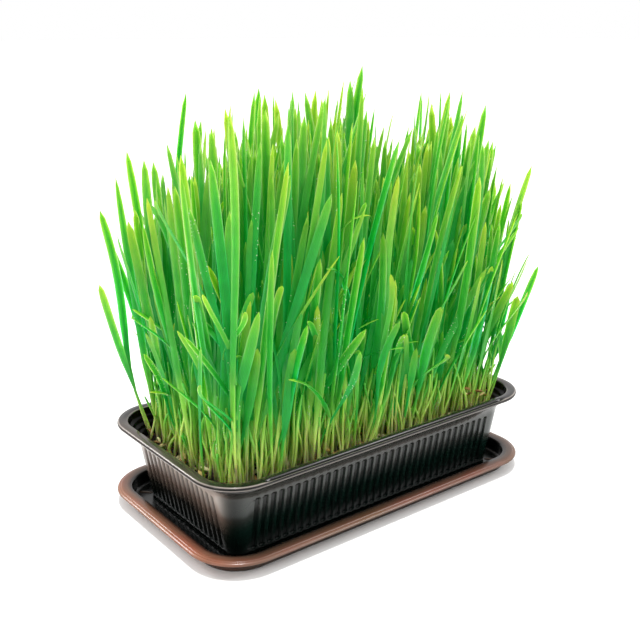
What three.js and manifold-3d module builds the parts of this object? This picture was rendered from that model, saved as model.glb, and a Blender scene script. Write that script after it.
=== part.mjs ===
// A tray of wheatgrass: a fluted plastic planter full of soil and growing sprouts, standing in a saucer.
// Millimetres, +Z up. The origin is the middle of the saucer's underside, with the long side along X.
import * as THREE from "three";
import { mergeVertices } from "three/addons/utils/BufferGeometryUtils.js";
import Module from "manifold-3d";

const wasm = await Module();
wasm.setup();

// Driving dimensions. The planter's and the saucer's are measured over their rims.
const planterLength = 250;
const planterWidth = 141.5;
const planterCornerRadius = 28;
const planterTop = 55;
const planterBottom = 1.7;
const planterFloorTop = 3;
const saucerLength = 256;
const saucerWidth = 147;
const saucerCornerRadius = 32;
const cornerSteps = 5;

// The flutes are pressed into the planter's walls, with a flat rib between each two.
const flutePitch = 5.6;
const fluteWidth = 3.8;
const fluteDepth = 1.1;
const longSideFlutes = 34;
const shortSideFlutes = 15;
const fluteTop = 39.3;
const fluteBottom = 4.4;
const fluteRunIn = 2.2;

const drainHoleRadius = 2.5;
const drainHoleSpacing = { x: 68, y: 44 };

const ribWidth = 1.6;
const ribHeight = 0.9;
const ribFrom = 10.6;
const ribTo = 19.5;

// The soil is clear of the planter by the gap, and each clump of sprouts stands in a plain hole in it.
const gap = 0.3;
const soilTop = 39.6;
const clumpColumns = 11;
const clumpRows = 5;
const clumpPitch = { x: 18.9, y: 20.4 };
const clumpSize = { x: 16.4, y: 18 };
const clumpDepth = 8;
const clumpHeight = { low: 0.2, high: 1.1 };

const sproutsAlong = 3;
const sproutMargin = 1.2;
const sproutClearance = 0.5;
const sproutTries = 160;
const checkHeights = 44;
const tallestSprout = 240;
const farApart = 9;
const stemHalfWidth = 0.95;
const stemThickness = 1.5;
const bladeThickness = 0.95;
const sheathShare = 0.4;
const usualBend = 1.5;
const bluntShare = 0.45;
const mostTwist = 1.1;
const shortestShare = 0.46;
const sproutWidth = { low: 3.6, high: 6.4, crowded: 0.7 };
const sproutLean = { fan: 0.02, driftLeft: -3, driftRight: 12, most: 24, crowded: 3 };
const driftHeading = { x: 0.79, y: -0.61 };

// How high the sprouts reach above the soil at a distance along the heading in which they drift.
const skyline = [
  { along: -130, height: 138 },
  { along: -112, height: 162 },
  { along: -98, height: 168 },
  { along: -80, height: 186 },
  { along: -66, height: 182 },
  { along: -45, height: 197 },
  { along: 22, height: 201 },
  { along: 34, height: 180 },
  { along: 56, height: 178 },
  { along: 70, height: 196 },
  { along: 98, height: 192 },
  { along: 112, height: 166 },
  { along: 130, height: 140 },
];

// A few sprouts that stand out of the rest: foot, lean at the tip, height above the soil, width of the blade,
// and how its lean grows with its height, where a larger bend leaves it upright for longer.
const strays = [
  { foot: [-101, 47], lean: [-22, 17], height: 102, width: 6.6, blunt: false, bend: 1 },
  { foot: [-102, 49], lean: [-18, 15], height: 147, width: 5, blunt: false, bend: 0.8 },
  { foot: [-100, 42], lean: [-13, 11], height: 167, width: 4.6, blunt: false, bend: 0.9 },
  { foot: [-92, 48], lean: [-11, 9], height: 181, width: 5, blunt: false, bend: 1.5 },
  { foot: [-90, 36], lean: [-5, 4], height: 176, width: 5.4, blunt: true, bend: 1.2 },
  { foot: [-86, 40], lean: [11, -9], height: 215, width: 3.4, blunt: false, bend: 2.6 },
  { foot: [12, 20], lean: [20, -16], height: 228, width: 5.4, blunt: false, bend: 1.5 },
  { foot: [-12, 22], lean: [14, -10], height: 214, width: 5.6, blunt: false, bend: 1.5 },
  { foot: [-38, 28], lean: [6, -5], height: 216, width: 5.2, blunt: true, bend: 1.5 },
  { foot: [56, -14], lean: [20, -14], height: 212, width: 5, blunt: false, bend: 1.5 },
  { foot: [80, -28], lean: [16, -12], height: 204, width: 5.4, blunt: true, bend: 1.5 },
  { foot: [99, -42], lean: [22, -17], height: 166, width: 5.2, blunt: true, bend: 1.6 },
  { foot: [101, -47], lean: [25, -19], height: 101, width: 4.4, blunt: false, bend: 1.1 },
  { foot: [100, -38], lean: [25, -18], height: 68, width: 3.8, blunt: false, bend: 1.2 },
];

// A repeatable random sequence from a whole number: each call gives a number from 0 up to 1.
function randomFrom(seed) {
  let state = seed >>> 0;
  return () => {
    state = (state + 0x6d2b79f5) >>> 0;
    let mixed = Math.imul(state ^ (state >>> 15), 1 | state);
    mixed = (mixed + Math.imul(mixed ^ (mixed >>> 7), 61 | mixed)) ^ mixed;
    return ((mixed ^ (mixed >>> 14)) >>> 0) / 4294967296;
  };
}

// A closed three.js geometry as a solid that can be joined and cut.
function solidOf(geometry) {
  const plain = geometry.clone();
  plain.deleteAttribute("normal");
  plain.deleteAttribute("uv");
  const merged = mergeVertices(plain, 1e-4);
  return new wasm.Manifold(
    new wasm.Mesh({
      numProp: 3,
      vertProperties: merged.attributes.position.array,
      triVerts: new Uint32Array(merged.index.array),
    }),
  );
}

function geometryOf(solid) {
  const { numProp, numVert, vertProperties, triVerts } = solid.getMesh();
  const positions = new Float32Array(numVert * 3);
  for (let i = 0; i < numVert; i++) {
    positions.set(vertProperties.subarray(i * numProp, i * numProp + 3), i * 3);
  }
  const geometry = new THREE.BufferGeometry();
  geometry.setAttribute("position", new THREE.BufferAttribute(positions, 3));
  geometry.setIndex(new THREE.BufferAttribute(triVerts, 1));
  return geometry;
}

function geometryFrom(positions, index) {
  const geometry = new THREE.BufferGeometry();
  geometry.setAttribute("position", new THREE.Float32BufferAttribute(positions, 3));
  geometry.setIndex(index);
  return geometry;
}

function meshOf(name, geometry, material) {
  const faceted = geometry.toNonIndexed();
  faceted.computeVertexNormals();
  const mesh = new THREE.Mesh(faceted, material);
  mesh.name = name;
  return mesh;
}

// The outward normals of the four sides. A corner is numbered as the side that follows it, anticlockwise.
const sideNormals = [[0, 1], [-1, 0], [0, -1], [1, 0]];

// A point on a side: how far out it is from the middle, and how far along the side.
function besideSide(side, out, along, height) {
  const [x, y] = sideNormals[side];
  return [x * out - y * along, y * out + x * along, height];
}

// The arc round one corner of a rounded rectangle that is moved in from its outline by the inset.
function cornerPoints(outline, side, inset, height) {
  const [nextX, nextY] = sideNormals[side];
  const [lastX, lastY] = sideNormals[(side + 3) % 4];
  const centreX = (nextX + lastX) * (outline.length / 2 - outline.radius);
  const centreY = (nextY + lastY) * (outline.width / 2 - outline.radius);
  const arc = new THREE.EllipseCurve(
    centreX,
    centreY,
    outline.radius - inset,
    outline.radius - inset,
    (side * Math.PI) / 2,
    ((side + 1) * Math.PI) / 2,
  );
  return arc.getPoints(cornerSteps).map((point) => [point.x, point.y, height]);
}

// A plain ring round the outline. Each ring holds its four corners and what lies on the four sides between.
function plainRing(outline, inset, height) {
  const corners = [0, 1, 2, 3].map((side) => cornerPoints(outline, side, inset, height));
  return { corners, sides: [[], [], [], []] };
}

// A ring round the planter's wall with three points for each flute, the middle one pressed in by the depth.
function flutedRing(outline, inset, height, depth) {
  const corners = [0, 1, 2, 3].map((side) => cornerPoints(outline, side, inset, height));
  const sides = [0, 1, 2, 3].map((side) => {
    const isLong = side % 2 === 0;
    const count = isLong ? longSideFlutes : shortSideFlutes;
    const wall = (isLong ? outline.width : outline.length) / 2 - inset;
    const points = [];
    for (let flute = 0; flute < count; flute++) {
      const middle = (flute - (count - 1) / 2) * flutePitch;
      points.push(besideSide(side, wall, middle - fluteWidth / 2, height));
      points.push(besideSide(side, wall - depth, middle, height));
      points.push(besideSide(side, wall, middle + fluteWidth / 2, height));
    }
    return points;
  });
  return { corners, sides };
}

// The closed solid through a row of rings, from the ring of its upper flat to the ring of its underside.
// Two rings with different numbers of points on a side are joined by triangles that share the ends.
function loft(rings) {
  const positions = [];
  const index = [];
  const runs = rings.map((ring) => {
    const numbered = (points) =>
      points.map((point) => {
        positions.push(...point);
        return positions.length / 3 - 1;
      });
    const corners = ring.corners.map(numbered);
    const sides = ring.sides.map(numbered);
    return corners.flatMap((corner, side) => [
      corner,
      [corner[cornerSteps], ...sides[side], corners[(side + 1) % 4][0]],
    ]);
  });
  for (let i = 1; i < runs.length; i++) {
    runs[i - 1].forEach((run, which) => joinRuns(run, runs[i][which], index));
  }
  const loopOf = (ring) => ring.flatMap((run) => run.slice(0, -1));
  const upper = loopOf(runs[0]);
  const under = loopOf(runs[runs.length - 1]);
  for (let i = 2; i < upper.length; i++) {
    index.push(upper[0], upper[i - 1], upper[i]);
  }
  for (let i = 2; i < under.length; i++) {
    index.push(under[0], under[i], under[i - 1]);
  }
  return geometryFrom(positions, index);
}

// Triangles between two runs of points, each step taken on the run that is less far along.
function joinRuns(first, second, index) {
  const lastFirst = first.length - 1;
  const lastSecond = second.length - 1;
  let i = 0;
  let j = 0;
  while (i < lastFirst || j < lastSecond) {
    const firstIsBehind = (i + 0.5) / lastFirst <= (j + 0.5) / lastSecond;
    if (j === lastSecond || (i < lastFirst && firstIsBehind)) {
      index.push(first[i], second[j], first[i + 1]);
      i++;
    } else {
      index.push(first[i], second[j], second[j + 1]);
      j++;
    }
  }
}

// The saucer: a shallow pan with a broad convex rim whose edge turns down, clear of the table, and a raised
// rib across each corner of its floor.
function makeSaucer() {
  const outline = { length: saucerLength, width: saucerWidth, radius: saucerCornerRadius };
  const profile = [
    [12, 1.4],
    [10.2, 2.4],
    [9.5, 9.4],
    [8.9, 10.3],
    [5.2, 10.9],
    [1.6, 10.3],
    [0.2, 9.2],
    [0, 8],
    [1.1, 8],
    [1.6, 8.9],
    [7.2, 9.2],
    [7.6, 8.6],
    [8.2, 1.2],
    [9.2, 0],
  ];
  let saucer = solidOf(loft(profile.map(([inset, height]) => plainRing(outline, inset, height))));
  const [, floorTop] = profile[0];
  const cornerX = saucerLength / 2 - saucerCornerRadius;
  const cornerY = saucerWidth / 2 - saucerCornerRadius;
  for (const [signX, signY] of [[1, 1], [-1, 1], [-1, -1], [1, -1]]) {
    const rib = new THREE.BoxGeometry(ribTo - ribFrom, ribWidth, ribHeight + floorTop / 2);
    rib.translate((ribFrom + ribTo) / 2, 0, floorTop / 2 + (ribHeight + floorTop / 2) / 2);
    rib.rotateZ(Math.atan2(signY, signX));
    rib.translate(signX * cornerX, signY * cornerY, 0);
    saucer = saucer.add(solidOf(rib));
  }
  return geometryOf(saucer);
}

const planterOutline = { length: planterLength, width: planterWidth, radius: planterCornerRadius };
const wallTop = { inset: 12.42, height: planterTop - 10.8 };
const wallFoot = { inset: 19.5, height: 2.6 };
const innerWallTop = { inset: 14.42, height: planterTop - 11.1 };
const innerWallFoot = { inset: 21.6, height: planterFloorTop };

// How far in a straight wall lies at a height, from its two ends.
function insetBetween(upper, lower, height) {
  const share = (upper.height - height) / (upper.height - lower.height);
  return upper.inset + share * (lower.inset - upper.inset);
}

// The planter: a thin pot with a convex rim, two moulded steps under it, a shoulder and fluted tapered walls.
function makePlanter() {
  const ringAt = ([inset, height]) => plainRing(planterOutline, inset, height);
  const inside = [
    [innerWallFoot.inset, innerWallFoot.height],
    [innerWallTop.inset, innerWallTop.height],
    [12.9, planterTop - 10.3],
    [12.5, planterTop - 8.4],
    [10.3, planterTop - 7.5],
    [9.9, planterTop - 5.1],
    [7.7, planterTop - 4.2],
    [6.9, planterTop - 0.3],
  ];
  const rim = [
    [3.6, planterTop + 0.5],
    [1, planterTop + 0.1],
    [0, planterTop - 0.9],
    [0.3, planterTop - 1.9],
    [1.5, planterTop - 1.9],
    [2, planterTop - 0.9],
    [5.9, planterTop - 1.2],
  ];
  const outside = [
    [6.3, planterTop - 4.9],
    [8.8, planterTop - 5.9],
    [9.2, planterTop - 8.2],
    [11.4, planterTop - 9.2],
    [11.8, planterTop - 10.2],
    [wallTop.inset, wallTop.height],
  ];
  const flutedAt = (height, depth) =>
    flutedRing(planterOutline, insetBetween(wallTop, wallFoot, height), height, depth);
  const foot = [
    [wallFoot.inset, wallFoot.height],
    [wallFoot.inset + 0.9, planterBottom],
  ];
  const rings = [
    ...[...inside, ...rim, ...outside].map(ringAt),
    flutedAt(fluteTop, 0),
    flutedAt(fluteTop - fluteRunIn, fluteDepth),
    flutedAt(fluteBottom + fluteRunIn, fluteDepth),
    flutedAt(fluteBottom, 0),
    ...foot.map(ringAt),
  ];
  let planter = solidOf(loft(rings));
  for (const column of [-1, 0, 1]) {
    for (const row of [-0.5, 0.5]) {
      const hole = new THREE.CylinderGeometry(drainHoleRadius, drainHoleRadius, planterFloorTop * 3, 10);
      hole.rotateX(Math.PI / 2);
      hole.translate(column * drainHoleSpacing.x, row * drainHoleSpacing.y, 0);
      planter = planter.subtract(solidOf(hole));
    }
  }
  return geometryOf(planter);
}

// Where each clump of sprouts stands: the middle of its root plug and how high the plug's top is.
function clumpPlaces() {
  const places = [];
  for (let column = 0; column < clumpColumns; column++) {
    for (let row = 0; row < clumpRows; row++) {
      const random = randomFrom(7000 + places.length);
      const x = (column - (clumpColumns - 1) / 2) * clumpPitch.x;
      const y = (row - (clumpRows - 1) / 2) * clumpPitch.y;
      const top = soilTop + clumpHeight.low + (clumpHeight.high - clumpHeight.low) * random();
      places.push({ x, y, top, sprouts: [] });
    }
  }
  return places;
}

function boxBetween(low, high) {
  const box = new THREE.BoxGeometry(high[0] - low[0], high[1] - low[1], high[2] - low[2]);
  box.translate((low[0] + high[0]) / 2, (low[1] + high[1]) / 2, (low[2] + high[2]) / 2);
  return box;
}

// The soil fills the planter, clear of its walls by the gap, and has a plain hole for each root plug.
function makeSoil(places) {
  const bottom = planterFloorTop + gap;
  const insetAt = (height) => insetBetween(innerWallTop, innerWallFoot, height) + gap;
  const rings = [soilTop, bottom].map((height) => plainRing(planterOutline, insetAt(height), height));
  let soil = solidOf(loft(rings));
  const halfX = clumpSize.x / 2 + gap;
  const halfY = clumpSize.y / 2 + gap;
  const holeBottom = soilTop - clumpDepth - gap;
  for (const { x, y } of places) {
    const hole = boxBetween([x - halfX, y - halfY, holeBottom], [x + halfX, y + halfY, soilTop + gap]);
    soil = soil.subtract(solidOf(hole));
  }
  return geometryOf(soil);
}

// A sprout is a stem that widens into a flat blade with a keel. Its foot stands upright, and it leans more
// the higher it goes. A ring has three corners: the two edges of the blade and its keel.
function sproutRings(sprout) {
  const tipShare = sprout.blunt ? 0.965 : 0.8;
  const tipWidth = sprout.blunt ? 0.8 : 0.72;
  const stations = [
    { share: (sprout.soilHeight - soilTop) / sprout.height, half: stemHalfWidth, thickness: stemThickness },
    { share: sheathShare, half: sprout.width / 2, thickness: bladeThickness },
    { share: tipShare, half: (sprout.width / 2) * tipWidth, thickness: bladeThickness },
  ];
  return stations.map(({ share, half, thickness }) => {
    const bend = share ** sprout.bend;
    const turn = sprout.turn + sprout.twist * share;
    const alongX = Math.cos(turn);
    const alongY = Math.sin(turn);
    const x = sprout.foot[0] + sprout.lean[0] * bend;
    const y = sprout.foot[1] + sprout.lean[1] * bend;
    const back = thickness / 3;
    return {
      height: soilTop + share * sprout.height,
      points: [
        [x + alongX * half + alongY * back, y + alongY * half - alongX * back],
        [x - alongY * 2 * back, y + alongX * 2 * back],
        [x - alongX * half + alongY * back, y - alongY * half - alongX * back],
      ],
    };
  });
}

function sproutTip(sprout) {
  return [sprout.foot[0] + sprout.lean[0], sprout.foot[1] + sprout.lean[1], soilTop + sprout.height];
}

// The faces of a sprout from its foot ring up, as numbers of its points: three in each ring, and the tip.
const sproutFaces = [];
for (const ring of [0, 1]) {
  for (let corner = 0; corner < 3; corner++) {
    const a = ring * 3 + corner;
    const b = ring * 3 + ((corner + 1) % 3);
    sproutFaces.push([a, b, b + 3], [a, b + 3, a + 3]);
  }
}
sproutFaces.push([6, 7, 9], [7, 8, 9], [8, 6, 9]);

// The three corners of a sprout at a height, for the test that two sprouts stay clear of each other.
function sectionAt(sprout, height) {
  const { rings } = sprout;
  const tip = sproutTip(sprout);
  if (height >= tip[2] || height < sprout.soilHeight) {
    return null;
  }
  const above = rings.findIndex((ring) => ring.height > height);
  const upper = above < 0 ? { height: tip[2], points: [tip, tip, tip] } : rings[above];
  const lower = above < 0 ? rings[rings.length - 1] : rings[above - 1];
  const part = (height - lower.height) / (upper.height - lower.height);
  return lower.points.map((point, corner) => [
    point[0] + (upper.points[corner][0] - point[0]) * part,
    point[1] + (upper.points[corner][1] - point[1]) * part,
  ]);
}

// Two triangles are clear of each other if some edge of either has them on its two sides, apart by the gap.
function areClear(first, second, clearance) {
  for (const triangle of [first, second]) {
    for (let corner = 0; corner < 3; corner++) {
      const [x, y] = triangle[corner];
      const [nextX, nextY] = triangle[(corner + 1) % 3];
      const size = Math.hypot(nextX - x, nextY - y) || 1;
      const normalX = (nextY - y) / size;
      const normalY = (x - nextX) / size;
      const firstReach = first.map((point) => point[0] * normalX + point[1] * normalY);
      const secondReach = second.map((point) => point[0] * normalX + point[1] * normalY);
      const apart = Math.max(
        Math.min(...secondReach) - Math.max(...firstReach),
        Math.min(...firstReach) - Math.max(...secondReach),
      );
      if (apart >= clearance) {
        return true;
      }
    }
  }
  return false;
}

const lowestCheck = soilTop + clumpHeight.high;
const checkedHeights = Array.from(
  { length: checkHeights },
  (_, i) => lowestCheck + (tallestSprout * i) / checkHeights,
);

function prepare(sprout) {
  sprout.rings = sproutRings(sprout);
  sprout.sections = checkedHeights.map((height) => sectionAt(sprout, height));
  return sprout;
}

function isClearOf(sprout, other) {
  return sprout.sections.every((section, i) => {
    const otherSection = other.sections[i];
    if (!section || !otherSection) {
      return true;
    }
    const apartX = Math.abs(section[0][0] - otherSection[0][0]);
    const apartY = Math.abs(section[0][1] - otherSection[0][1]);
    const isFar = apartX > farApart || apartY > farApart;
    return isFar || areClear(section, otherSection, sproutClearance);
  });
}

function mix(low, high, part) {
  return low + (high - low) * part;
}

function skylineAt(along) {
  const next = skyline.findIndex((point) => point.along > along);
  if (next < 1) {
    return (next === 0 ? skyline[0] : skyline[skyline.length - 1]).height;
  }
  const [low, high] = [skyline[next - 1], skyline[next]];
  return mix(low.height, high.height, (along - low.along) / (high.along - low.along));
}

// One try at a sprout near a foot. Later tries lean less and are narrower, so that they find room. Sprouts
// nearer the +X end drift further that way, and the skyline over its tip limits how high a sprout stands.
function trySprout(nearX, nearY, cell, soilHeight, random, part) {
  const foot = [nearX + (random() - 0.5) * cell.x, nearY + (random() - 0.5) * cell.y];
  const reach = mix(sproutLean.most, sproutLean.crowded, part) * random();
  const heading = random() * 2 * Math.PI;
  const halfLength = (clumpColumns * clumpPitch.x) / 2;
  const towardsRight = (foot[0] - foot[1]) / (2 * halfLength) + 0.5;
  const drift = mix(sproutLean.driftLeft, sproutLean.driftRight, towardsRight);
  const lean = [
    foot[0] * sproutLean.fan + drift * driftHeading.x + reach * Math.cos(heading),
    foot[1] * sproutLean.fan + drift * driftHeading.y + reach * Math.sin(heading),
  ];
  const tipAlong = (foot[0] + lean[0]) * driftHeading.x + (foot[1] + lean[1]) * driftHeading.y;
  const height = skylineAt(tipAlong) * mix(shortestShare, 1, random() ** 0.75);
  const width = mix(sproutWidth.low, sproutWidth.high, random()) * mix(1, sproutWidth.crowded, part);
  const turn = random() * Math.PI;
  const twist = (random() - 0.5) * mostTwist;
  const blunt = random() < bluntShare;
  return prepare({ foot, lean, height, width, turn, twist, blunt, soilHeight, bend: usualBend });
}

// Each clump holds three rows of three sprouts, and a stray stands in the clump nearest its foot. A sprout is
// drawn again until it is clear of all the others, and is left out where there is no room.
function growSprouts(places) {
  const grown = [];
  const innerX = clumpSize.x / 2 - sproutMargin;
  const innerY = clumpSize.y / 2 - sproutMargin;
  const plant = (place, sprout) => {
    place.sprouts.push(sprout);
    grown.push(sprout);
  };
  strays.forEach((stray, i) => {
    const random = randomFrom(9000 + i);
    const apart = (place) => Math.hypot(place.x - stray.foot[0], place.y - stray.foot[1]);
    const place = places.reduce((best, next) => (apart(next) < apart(best) ? next : best));
    const foot = [
      THREE.MathUtils.clamp(stray.foot[0], place.x - innerX, place.x + innerX),
      THREE.MathUtils.clamp(stray.foot[1], place.y - innerY, place.y + innerY),
    ];
    const turn = Math.atan2(stray.lean[1], stray.lean[0]) + (random() - 0.5);
    plant(place, prepare({ ...stray, foot, turn, twist: 0, soilHeight: place.top }));
  });
  const cell = { x: (2 * innerX) / sproutsAlong, y: (2 * innerY) / sproutsAlong };
  places.forEach((place, number) => {
    for (let part = 0; part < sproutsAlong ** 2; part++) {
      const random = randomFrom(number * 100 + part);
      const nearX = place.x + ((part % sproutsAlong) - 1) * cell.x;
      const nearY = place.y + (Math.floor(part / sproutsAlong) - 1) * cell.y;
      for (let attempt = 0; attempt < sproutTries; attempt++) {
        const sprout = trySprout(nearX, nearY, cell, place.top, random, attempt / sproutTries);
        if (grown.every((other) => isClearOf(sprout, other))) {
          plant(place, sprout);
          break;
        }
      }
    }
  });
}

// A clump: a plug of matted roots with its sprouts growing out of it as one body. The plug's upper face is
// cut round the foot of each sprout, which goes on from there.
function makeClump(place) {
  const halfX = clumpSize.x / 2;
  const halfY = clumpSize.y / 2;
  const outline = [[-halfX, -halfY], [halfX, -halfY], [halfX, halfY], [-halfX, halfY]].map(
    ([x, y]) => new THREE.Vector2(place.x + x, place.y + y),
  );
  const feet = place.sprouts.map((sprout) => sprout.rings[0].points.map(([x, y]) => new THREE.Vector2(x, y)));
  const positions = [soilTop - clumpDepth, place.top].flatMap((height) =>
    outline.flatMap(({ x, y }) => [x, y, height]),
  );
  const index = [0, 2, 1, 0, 3, 2];
  for (let side = 0; side < 4; side++) {
    const next = (side + 1) % 4;
    index.push(side, next, next + 4, side, next + 4, side + 4);
  }
  const upperFace = [4, 5, 6, 7];
  for (const sprout of place.sprouts) {
    const first = positions.length / 3;
    upperFace.push(first, first + 1, first + 2);
    for (const ring of sprout.rings) {
      positions.push(...ring.points.flatMap(([x, y]) => [x, y, ring.height]));
    }
    positions.push(...sproutTip(sprout));
    index.push(...sproutFaces.flat().map((point) => first + point));
  }
  for (const face of THREE.ShapeUtils.triangulateShape(outline, feet)) {
    index.push(...face.map((point) => upperFace[point]));
  }
  return geometryFrom(positions, index);
}

const brownPlastic = new THREE.MeshStandardMaterial({ color: 0x8c5240, roughness: 0.4, metalness: 0 });
const blackPlastic = new THREE.MeshStandardMaterial({ color: 0x2b2826, roughness: 0.35, metalness: 0 });
const pottingSoil = new THREE.MeshStandardMaterial({ color: 0x33241a, roughness: 0.95, metalness: 0 });
const freshGrass = new THREE.MeshStandardMaterial({ color: 0x4caf32, roughness: 0.5, metalness: 0 });

const tray = new THREE.Group();
const places = clumpPlaces();
growSprouts(places);
tray.add(meshOf("saucer", makeSaucer(), brownPlastic));
tray.add(meshOf("planter", makePlanter(), blackPlastic));
tray.add(meshOf("soil", makeSoil(places), pottingSoil));
places.forEach((place, i) => {
  tray.add(meshOf(`sprouts_${String(i + 1).padStart(2, "0")}`, makeClump(place), freshGrass));
});

export default tray;
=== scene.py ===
import math

import bpy
import numpy as np
from mathutils import Matrix


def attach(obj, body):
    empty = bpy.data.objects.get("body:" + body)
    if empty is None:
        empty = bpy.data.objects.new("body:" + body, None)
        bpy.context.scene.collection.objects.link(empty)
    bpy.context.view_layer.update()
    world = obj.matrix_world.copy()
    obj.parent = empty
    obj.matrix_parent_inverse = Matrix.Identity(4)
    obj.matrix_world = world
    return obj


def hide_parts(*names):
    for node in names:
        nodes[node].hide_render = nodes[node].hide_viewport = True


# A tray of wheatgrass: a fluted planter of soil and sprouts in a saucer. Lengths in dictionaries and in arrays of
# points are in millimetres, and makeMesh turns them into metres.
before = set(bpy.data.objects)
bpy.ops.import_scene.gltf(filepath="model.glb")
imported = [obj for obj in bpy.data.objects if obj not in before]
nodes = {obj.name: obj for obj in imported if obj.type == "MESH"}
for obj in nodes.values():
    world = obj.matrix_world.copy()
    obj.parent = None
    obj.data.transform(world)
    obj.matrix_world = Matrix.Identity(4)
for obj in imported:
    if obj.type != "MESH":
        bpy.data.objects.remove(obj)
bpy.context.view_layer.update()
mm = 0.001
print("loaded", len(nodes), "nodes")


# Helpers for points

def unitVectors(angles):  # (cos a, sin a) for each angle
    return np.stack([np.cos(angles), np.sin(angles)], axis=-1)


def unitRing(count):  # that many unit vectors, evenly round a circle
    return unitVectors(np.linspace(0, 2 * np.pi, count, endpoint=False))


def unitLength(vectors):  # each vector divided by its length
    return vectors / np.maximum(np.linalg.norm(vectors, axis=-1, keepdims=True), 1e-9)


def smoothStep(t):  # 3 t^2 - 2 t^3, with t kept between 0 and 1
    t = np.clip(t, 0, 1)
    return t * t * (3 - 2 * t)


def peak(values, middle, half):  # exp(-((value - middle) / half)^2), which is 1 at the middle
    return np.exp(-((values - middle) / half) ** 2)


# Helpers for meshes

def gridFaces(rows, columns, isRound):  # quads between neighbours, facing out where rows run down an outer wall
    row = np.arange(rows - 1)[:, None]
    column = np.arange(columns if isRound else columns - 1)[None, :]
    here = row * columns + column
    beside = row * columns + (column + 1) % columns
    return np.stack([here, here + columns, beside + columns, beside], axis=-1).reshape(-1, 4)


def tubeFaces(rows, columns, count=1):  # the walls and both ends of closed tubes, each with its own points
    ring = np.arange(columns)
    ends = np.stack([ring, (rows - 1) * columns + ring[::-1]])
    shifts = np.arange(count)[:, None, None] * rows * columns
    groups = [gridFaces(rows, columns, True), ends]
    return [(faces[None] + shifts).reshape(-1, faces.shape[1]) for faces in groups]


def turnedOver(faceGroups):  # the same faces, facing the other way
    return [faces[:, ::-1] for faces in faceGroups]


def makeMesh(name, points, faceGroups, sharpDegrees):  # each group holds faces of one size
    mesh = bpy.data.meshes.new(name)
    places = np.asarray(points, float).reshape(-1, 3) * mm
    corners = np.concatenate([group.ravel() for group in faceGroups]).astype(np.int32)
    sizes = np.concatenate([np.full(len(group), group.shape[1]) for group in faceGroups])
    mesh.vertices.add(len(places))
    mesh.vertices.foreach_set("co", places.astype(np.float32).ravel())
    mesh.loops.add(len(corners))
    mesh.loops.foreach_set("vertex_index", corners)
    mesh.polygons.add(len(sizes))
    mesh.polygons.foreach_set("loop_start", (np.cumsum(sizes) - sizes).astype(np.int32))
    mesh.update(calc_edges=True)
    mesh.validate()
    mesh.shade_smooth()
    mesh.set_sharp_from_angle(angle=math.radians(sharpDegrees))
    return mesh


def setAttribute(mesh, name, values):  # one number for each point, for a material to read
    attribute = mesh.attributes.new(name, "FLOAT", "POINT")
    attribute.data.foreach_set("value", np.asarray(values, np.float32).ravel())


def addObject(name, data):
    item = bpy.data.objects.new(name, data)
    bpy.context.scene.collection.objects.link(item)
    return item


def makePiece(name, mesh, material, replaced=()):  # an object that rides on the tray's only body
    piece = addObject(name, mesh)
    mesh.materials.append(material)
    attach(piece, "root")
    if replaced:
        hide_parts(*replaced)
    return piece


# Helpers for materials: most add one node and give its output

def linearColour(code):  # sRGB hex to linear: c / 12.92 up to 0.04045, and ((c + 0.055) / 1.055) ^ 2.4 above it
    parts = np.array([int(code[i:i + 2], 16) for i in (1, 3, 5)]) / 255
    linear = np.where(parts <= 0.04045, parts / 12.92, ((parts + 0.055) / 1.055) ** 2.4)
    return (*linear, 1.0)


def addNode(tree, kind, settings=None, inputs=None):  # inputs: a socket to link, a hex colour or a plain value
    node = tree.nodes.new(kind)
    for name, value in (settings or {}).items():
        setattr(node, name, value)
    for name, value in (inputs or {}).items():
        if isinstance(value, bpy.types.NodeSocket):
            tree.links.new(value, node.inputs[name])
        else:
            node.inputs[name].default_value = linearColour(value) if isinstance(value, str) else value
    return node


def newMaterial(name):
    material = bpy.data.materials.new(name)
    material.use_nodes = True
    material.node_tree.nodes.clear()
    return material


def closeMaterial(material, inputs):
    tree = material.node_tree
    shader = addNode(tree, "ShaderNodeBsdfPrincipled", inputs=inputs)
    output = addNode(tree, "ShaderNodeOutputMaterial")
    tree.links.new(shader.outputs[0], output.inputs["Surface"])
    return material


def openMaterial(material):  # its node tree, and where on the object a point is, in metres
    tree = material.node_tree
    return tree, addNode(tree, "ShaderNodeTexCoord").outputs["Object"]


def readAttribute(tree, name):
    return addNode(tree, "ShaderNodeAttribute", {"attribute_name": name}).outputs["Fac"]


def addNoise(tree, place, size, detail, roughness=0.5):  # its patches are about as wide as size, in metres
    inputs = {"Vector": place, "Scale": 1 / size, "Detail": detail, "Roughness": roughness}
    return addNode(tree, "ShaderNodeTexNoise", inputs=inputs).outputs["Fac"]


def addRamp(tree, value, stops):
    node = addNode(tree, "ShaderNodeValToRGB", inputs={"Fac": value})
    ramp = node.color_ramp.elements
    while len(ramp) < len(stops):
        ramp.new(0.5)
    for element, (place, code) in zip(ramp, stops):
        element.position = place
        element.color = linearColour(code)
    return node.outputs["Color"]


def blendColours(tree, factor, first, second, kind="MIX"):
    settings = {"data_type": "RGBA", "blend_type": kind}
    return addNode(tree, "ShaderNodeMix", settings, {"Factor": factor, 6: first, 7: second}).outputs[2]


def scaleColour(tree, colour, scale):
    return addNode(tree, "ShaderNodeVectorMath", {"operation": "SCALE"}, {0: colour, "Scale": scale}).outputs[0]


def addMath(tree, operation, *values):
    return addNode(tree, "ShaderNodeMath", {"operation": operation}, dict(enumerate(values))).outputs[0]


def mapRange(tree, value, start, end):  # carries the values of the pair start over to the pair end
    inputs = {"Value": value, "From Min": start[0], "From Max": start[1], "To Min": end[0], "To Max": end[1]}
    return addNode(tree, "ShaderNodeMapRange", inputs=inputs).outputs["Result"]


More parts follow.
